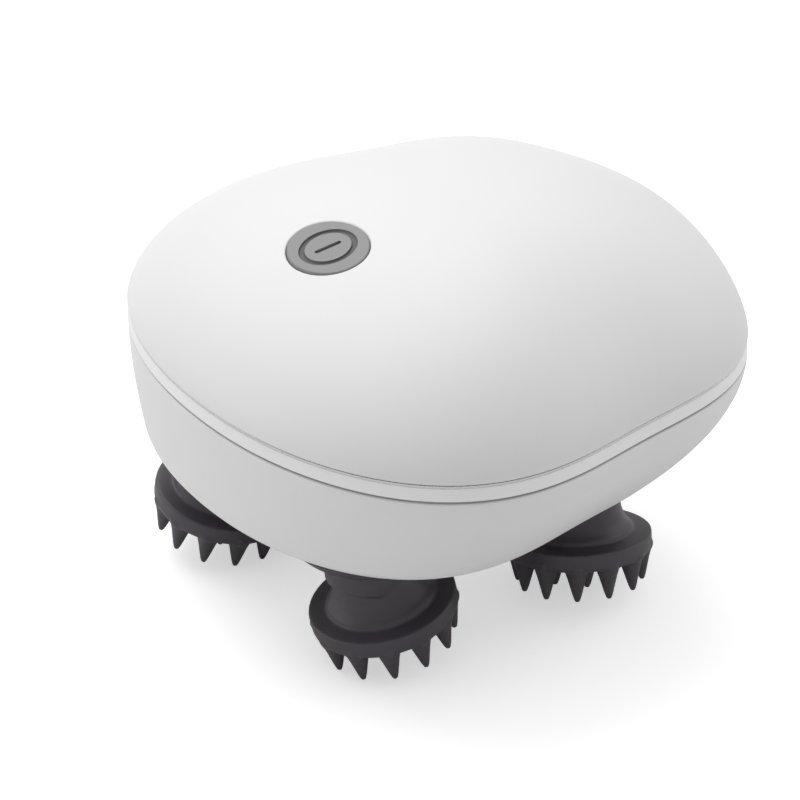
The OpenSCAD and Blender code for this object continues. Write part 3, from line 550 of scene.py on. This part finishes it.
def pad_body():
    """Neck, dished disc and rim band of a head, in the tilted frame."""
    profile = [(0, -2.6), (7.2, -2.6), (7.5, -3.8), (7.75, -5.2), (8.0, -6.6), (8.4, -7.9),
               (9.0, -8.9), (9.6, -9.5), (9.85, -9.8), (9.9, -10.15), (10.1, -10.4),
               (10.7, -10.5), (12.0, -10.62), (PAD_R - 0.3, -10.75), (PAD_R - 0.06, -10.85),
               (PAD_R, -11.05), (PAD_R, -13.3), (PAD_R - 0.15, -13.9), (PAD_R - 0.5, PAD_BOTTOM),
               (0, PAD_BOTTOM)]
    return lathe("pad", profile, 160)


def collar_body():
    """Upright collar that slips over the end of the head's core."""
    top = -24.6 - PIVOT_Z
    profile = [(0, top - 2), (3.3, top - 2), (3.3, top - 0.2), (3.6, top), (7.3, top),
               (7.7, top - 0.4), (7.85, top - 2), (7.85, top - 4.6), (0, top - 4.6)]
    return lathe("collar", profile, 120)


def silicone_head():
    """One head with its pivot at the origin and its pad rising towards +X."""
    parts = [pad_body()]
    parts += [claw(11.0, 15 + 30 * k, 6.15, 2.15, 3) for k in range(12)]
    parts += [claw(6, 60 * k, 5.4, 2.1, 1) for k in range(6)]
    parts.append(claw(0, 0, 5.0, 2.1, 0))
    for part in parts:
        part.data.transform(Matrix.Rotation(math.radians(-HEAD_TILT), 4, "Y"))
    parts.append(collar_body())
    head = join_meshes("silicone", parts)
    remesh = head.modifiers.new("remesh", "REMESH")
    remesh.mode = "VOXEL"
    remesh.voxel_size = 0.22 * MM
    smooth = head.modifiers.new("smooth", "SMOOTH")
    smooth.factor = 0.5
    smooth.iterations = 2
    bake_modifiers(head)
    combine(head, core_space(), "DIFFERENCE")
    soften(head.data, 60)
    return head


def core_space():
    """Room for the stiff core: an upright sleeve, and a tilted sleeve with a disc."""
    upright = lathe("core", [(0, -8.4), (CORE_R, -8.4), (CORE_R, -1.4), (0, -1.4)], 48)
    disc_r, disc_top, disc_foot, sleeve_top = 9.6, -11, -12.6, -5.6
    tilted = lathe("core", [(0, disc_foot), (disc_r, disc_foot), (disc_r, disc_top),
                            (CORE_R, disc_top), (CORE_R, sleeve_top), (0, sleeve_top)], 64)
    tilted.data.transform(Matrix.Rotation(math.radians(-HEAD_TILT), 4, "Y"))
    return [upright, tilted]


def place_heads(material):
    master = silicone_head()
    for name, rise in HEADS.items():
        at = joint_place(name + "_spin")
        head = new_object(name + "_silicone", master.data.copy())
        head.data.transform(Matrix.Translation(Vector((at.x, at.y, PIVOT_Z)) * MM)
                            @ Matrix.Rotation(math.radians(rise), 4, "Z"))
        finish_piece(head, name + "_head", "silicone_charcoal", material, name + "_claws")
    bpy.data.objects.remove(master)


def skirt_profile():
    """Bowl of a skirt seal, from its flat top to the lip round the shaft."""
    inner_r, lip_r, depth = 6.25, 8.2, 4.8
    bowl = []
    for u in np.linspace(1, 0, 14):
        bowl.append((lip_r + (SKIRT_R - lip_r) * u, -0.4 - (depth - 0.4) * (1 - u * u)))
    return ([(inner_r, 0), (SKIRT_R - 0.3, 0), (SKIRT_R - 0.05, -0.15)] + bowl
            + [(7.9, -depth), (2.9, -depth), (2.8, -depth + 0.15), (2.8, -3), (inner_r, -3)])


def skirts(material):
    for name in HEADS:
        at = joint_place(name + "_spin")
        skirt = lathe(name + "_skirt", skirt_profile(), 144, (at.x, at.y, -HOUSING_DEPTH))
        finish_piece(skirt, "housing", "silicone_charcoal", material, "skirt_seals")


# ---------- materials ----------

def surface(name, color, roughness, metallic=0.0, grain=900, bump=0.05, tint=0.03,
            stretch=(1, 1, 1), coat=0.0):
    """Moulded or metal finish: fine grain in the normal, with uneven colour and roughness."""
    material = bpy.data.materials.new(name)
    material.use_nodes = True
    nodes, links = material.node_tree.nodes, material.node_tree.links
    shader = nodes["Principled BSDF"]
    place = nodes.new("ShaderNodeTexCoord")
    mapping = nodes.new("ShaderNodeMapping")
    mapping.inputs["Scale"].default_value = stretch
    links.new(place.outputs["Object"], mapping.inputs["Vector"])
    fine = noise(nodes, links, mapping, grain, 6)
    broad = noise(nodes, links, mapping, grain * 0.03, 3)
    ramp = nodes.new("ShaderNodeValToRGB")
    ramp.color_ramp.elements[0].color = (*[c * (1 - tint) for c in color], 1)
    ramp.color_ramp.elements[1].color = (*[min(1, c * (1 + tint)) for c in color], 1)
    links.new(broad.outputs["Fac"], ramp.inputs["Fac"])
    links.new(ramp.outputs["Color"], shader.inputs["Base Color"])
    spread = nodes.new("ShaderNodeMapRange")
    spread.inputs["To Min"].default_value = roughness * 0.88
    spread.inputs["To Max"].default_value = min(1, roughness * 1.12)
    links.new(fine.outputs["Fac"], spread.inputs["Value"])
    links.new(spread.outputs["Result"], shader.inputs["Roughness"])
    relief = nodes.new("ShaderNodeBump")
    relief.inputs["Strength"].default_value = bump
    relief.inputs["Distance"].default_value = 0.0001
    links.new(fine.outputs["Fac"], relief.inputs["Height"])
    links.new(relief.outputs["Normal"], shader.inputs["Normal"])
    shader.inputs["Metallic"].default_value = metallic
    shader.inputs["Coat Weight"].default_value = coat
    shader.inputs["Coat Roughness"].default_value = 0.12
    return material


def noise(nodes, links, mapping, scale, detail):
    texture = nodes.new("ShaderNodeTexNoise")
    texture.inputs["Scale"].default_value = scale
    texture.inputs["Detail"].default_value = detail
    links.new(mapping.outputs["Vector"], texture.inputs["Vector"])
    return texture


MATERIALS = {
    "shell_white": surface("white_shell", (0.75, 0.75, 0.75), 0.48, grain=2600, bump=0.03,
                           tint=0.006),
    "silver_strip": surface("silver_strip", (0.58, 0.58, 0.58), 0.28, metallic=0.9, grain=1800,
                            bump=0.04, tint=0.05),
    "gasket_rubber": surface("gasket", (0.26, 0.26, 0.26), 0.7, grain=3000, bump=0.2),
    "silicone_charcoal": surface("charcoal_silicone", (0.057, 0.048, 0.061), 0.46, grain=3200,
                                 bump=0.12, tint=0.12),
    "plug_silicone": surface("white_silicone", (0.74, 0.74, 0.74), 0.5, grain=3000, bump=0.08,
                             tint=0.02),
    "button_grey": surface("button_grey", (0.24, 0.24, 0.24), 0.5, grain=4200, bump=0.12,
                           tint=0.04),
    "nylon_grey": surface("grey_nylon", (0.34, 0.35, 0.37), 0.6, grain=2200, bump=0.18),
    "nylon_white": surface("white_nylon", (0.7, 0.68, 0.63), 0.55, grain=2200, bump=0.12),
    "acetal_gear": surface("acetal", (0.78, 0.75, 0.64), 0.42, grain=1600, bump=0.06),
    "core_plastic": surface("core_plastic", (0.1, 0.11, 0.13), 0.6, grain=2400, bump=0.18),
    "zinc_steel": surface("zinc_steel", (0.56, 0.57, 0.6), 0.34, metallic=1.0, grain=1500,
                          bump=0.08, tint=0.08),
    "ground_steel": surface("ground_steel", (0.62, 0.62, 0.64), 0.2, metallic=1.0, grain=2600,
                            bump=0.1, stretch=(1, 1, 0.05)),
    "bronze": surface("bronze", (0.6, 0.4, 0.16), 0.38, metallic=1.0, grain=2600, bump=0.15,
                      tint=0.12),
    "ferrite": surface("ferrite", (0.05, 0.05, 0.055), 0.75, grain=2400, bump=0.35),
    "copper_winding": surface("copper_winding", (0.5, 0.2, 0.08), 0.35, metallic=0.9,
                              grain=2200, bump=0.6, stretch=(0.1, 0.1, 1), tint=0.15),
    "cell_wrap": surface("cell_wrap", (0.05, 0.26, 0.16), 0.3, grain=1400, bump=0.05),
    "board_green": surface("board_green", (0.02, 0.12, 0.05), 0.35, grain=1800, bump=0.2,
                           tint=0.2),
    "chip_black": surface("chip_black", (0.02, 0.02, 0.02), 0.6, grain=2600, bump=0.2),
    "wire_red": surface("wire_red", (0.45, 0.02, 0.015), 0.45, grain=1500, bump=0.05),
}
# Painted light: the trim band is the shell's white plastic, given a lighter colour to show the light its inward
# slope catches
BAND_PAINTED_LIGHT_WHITE = surface("trim_white_painted_light", (0.84, 0.84, 0.84), 0.36, grain=2600, bump=0.02, tint=0.006,
                     coat=0.3)
# Painted shade for the sunk floors of the button's power symbol
RECESS_SHADE = surface("recess_shade_grey", (0.10, 0.10, 0.105), 0.6, grain=4200, bump=0.12)


def finish_piece(obj, body, slot, material, *nodes):
    """Gives a piece its material, and makes it stand for CAD nodes on its body."""
    obj.data.materials.clear()
    obj.data.materials.append(material)
    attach(obj, body)
    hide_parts(*nodes)


def dress_cad_nodes():
    """Every CAD node that still shows takes its record slot's material."""
    slots = {row["node"]: row["material_slot"] for row in frame["record"]["subparts"]}
    for node, obj in frame["nodes"].items():
        obj.data.materials.clear()
        obj.data.materials.append(MATERIALS[slots[node]])


def paint_recess_shade(cap):
    """Painted shade: the sunk floors of the symbol's ring and bar are darker than the face."""
    cap.data.materials.append(RECESS_SHADE)
    for face in cap.data.polygons:
        x, y, z = (c / MM for c in face.center)
        along = (x - BUTTON.x) / math.cos(BUTTON_SLOPE)
        across = y - BUTTON.y
        r = math.hypot(along, across)
        in_ring = GROOVE_IN - 0.08 < r < GROOVE_OUT + 0.08
        in_bar = abs(along) < 2.7 and abs(across) < 1.0
        # painted shade goes on the sunk faces of the ring and the bar
        sunk = 0.03 < face_height(x) - z < 0.8
        if sunk and (in_ring or in_bar):
            face.material_index = 1


# ---------- stage ----------

def stage():
    """Pale floor under the claw tips, and soft lights."""
    floor_z = cad_box[0][2] - 0.2 * MM
    bm = bmesh.new()
    bmesh.ops.create_grid(bm, x_segments=8, y_segments=8, size=6)
    mesh = bpy.data.meshes.new("floor")
    bm.to_mesh(mesh)
    bm.free()
    floor = new_object("floor", mesh)
    floor.location.z = floor_z
    floor.data.materials.append(bright_paper())
    bpy.context.scene.world = studio_sky()
    soft_light("key", (0.02, 0.58, 0.85), 1.1, 8.5)
    soft_light("left fill", (-0.75, 0.52, 0.25), 0.6, 1.1)
    soft_light("right fill", (0.78, -0.20, 0.45), 0.7, 1.3)


def bright_paper():
    """Pale paper, brighter to the camera than the light it sends up, and clear from below."""
    paper = surface("floor_paper", (0.80, 0.80, 0.80), 0.9, grain=300, bump=0.02, tint=0.005)
    nodes, links = paper.node_tree.nodes, paper.node_tree.links
    path = nodes.new("ShaderNodeLightPath")
    glow = nodes.new("ShaderNodeMath")
    glow.operation = "MULTIPLY"
    glow.inputs[1].default_value = 0.5
    links.new(path.outputs["Is Camera Ray"], glow.inputs[0])
    shader = nodes["Principled BSDF"]
    shader.inputs["Emission Color"].default_value = (1, 1, 1, 1)
    links.new(glow.outputs["Value"], shader.inputs["Emission Strength"])
    facing = nodes.new("ShaderNodeNewGeometry")
    clear = nodes.new("ShaderNodeBsdfTransparent")
    mix = nodes.new("ShaderNodeMixShader")
    links.new(facing.outputs["Backfacing"], mix.inputs["Fac"])
    links.new(shader.outputs["BSDF"], mix.inputs[1])
    links.new(clear.outputs["BSDF"], mix.inputs[2])
    links.new(mix.outputs["Shader"], nodes["Material Output"].inputs["Surface"])
    return paper


def studio_sky():
    """White surroundings, brighter overhead than at the sides."""
    world = bpy.data.worlds.new("studio")
    world.use_nodes = True
    nodes, links = world.node_tree.nodes, world.node_tree.links
    place = nodes.new("ShaderNodeTexCoord")
    split = nodes.new("ShaderNodeSeparateXYZ")
    level = nodes.new("ShaderNodeMapRange")
    level.inputs["From Min"].default_value = 0
    level.inputs["To Min"].default_value = 0.53
    level.inputs["To Max"].default_value = 0.57
    links.new(place.outputs["Generated"], split.inputs["Vector"])
    links.new(split.outputs["Z"], level.inputs["Value"])
    links.new(level.outputs["Result"], nodes["Background"].inputs["Strength"])
    nodes["Background"].inputs["Color"].default_value = (1, 1, 1, 1)
    return world


def soft_light(name, place, size, watts):
    light = bpy.data.lights.new(name, "AREA")
    light.energy = watts
    light.size = size
    obj = bpy.data.objects.new(name, light)
    obj.location = place
    obj.rotation_euler = (-Vector(place)).to_track_quat("-Z", "Y").to_euler()
    bpy.context.scene.collection.objects.link(obj)


def camera():
    azimuth, elevation = math.radians(-34.1), math.radians(29)
    target = Vector((3.79, 0, 0)) * MM
    distance = 682.4 * MM
    towards = Vector((math.sin(azimuth) * math.cos(elevation),
                      -math.cos(azimuth) * math.cos(elevation), math.sin(elevation)))
    data = bpy.data.cameras.new("camera")
    data.lens = 169.96
    data.sensor_width = 36
    data.shift_x = -0.0687
    data.shift_y = -0.0928
    obj = bpy.data.objects.new("camera", data)
    obj.location = target + towards * distance
    obj.rotation_euler = (-towards).to_track_quat("-Z", "Y").to_euler()
    bpy.context.scene.collection.objects.link(obj)
    bpy.context.scene.camera = obj


# ---------- assembly ----------

def build():
    dress_cad_nodes()
    white = MATERIALS["shell_white"]
    finish_piece(top_cover(), "housing", "shell_white", white, "top_cover")
    seam_pieces()
    finish_piece(lower_housing(), "housing", "shell_white", white, "lower_housing")
    finish_piece(port_plug(), "port_cover", "plug_silicone", MATERIALS["plug_silicone"], "port_plug")
    cap = button_cap()
    finish_piece(cap, "button", "button_grey", MATERIALS["button_grey"], "button_cap")
    # painted shade in the sunk floors of the power symbol
    paint_recess_shade(cap)
    skirts(MATERIALS["silicone_charcoal"])
    place_heads(MATERIALS["silicone_charcoal"])


build()
stage()
camera()
bpy.context.scene.view_settings.view_transform = "Standard"
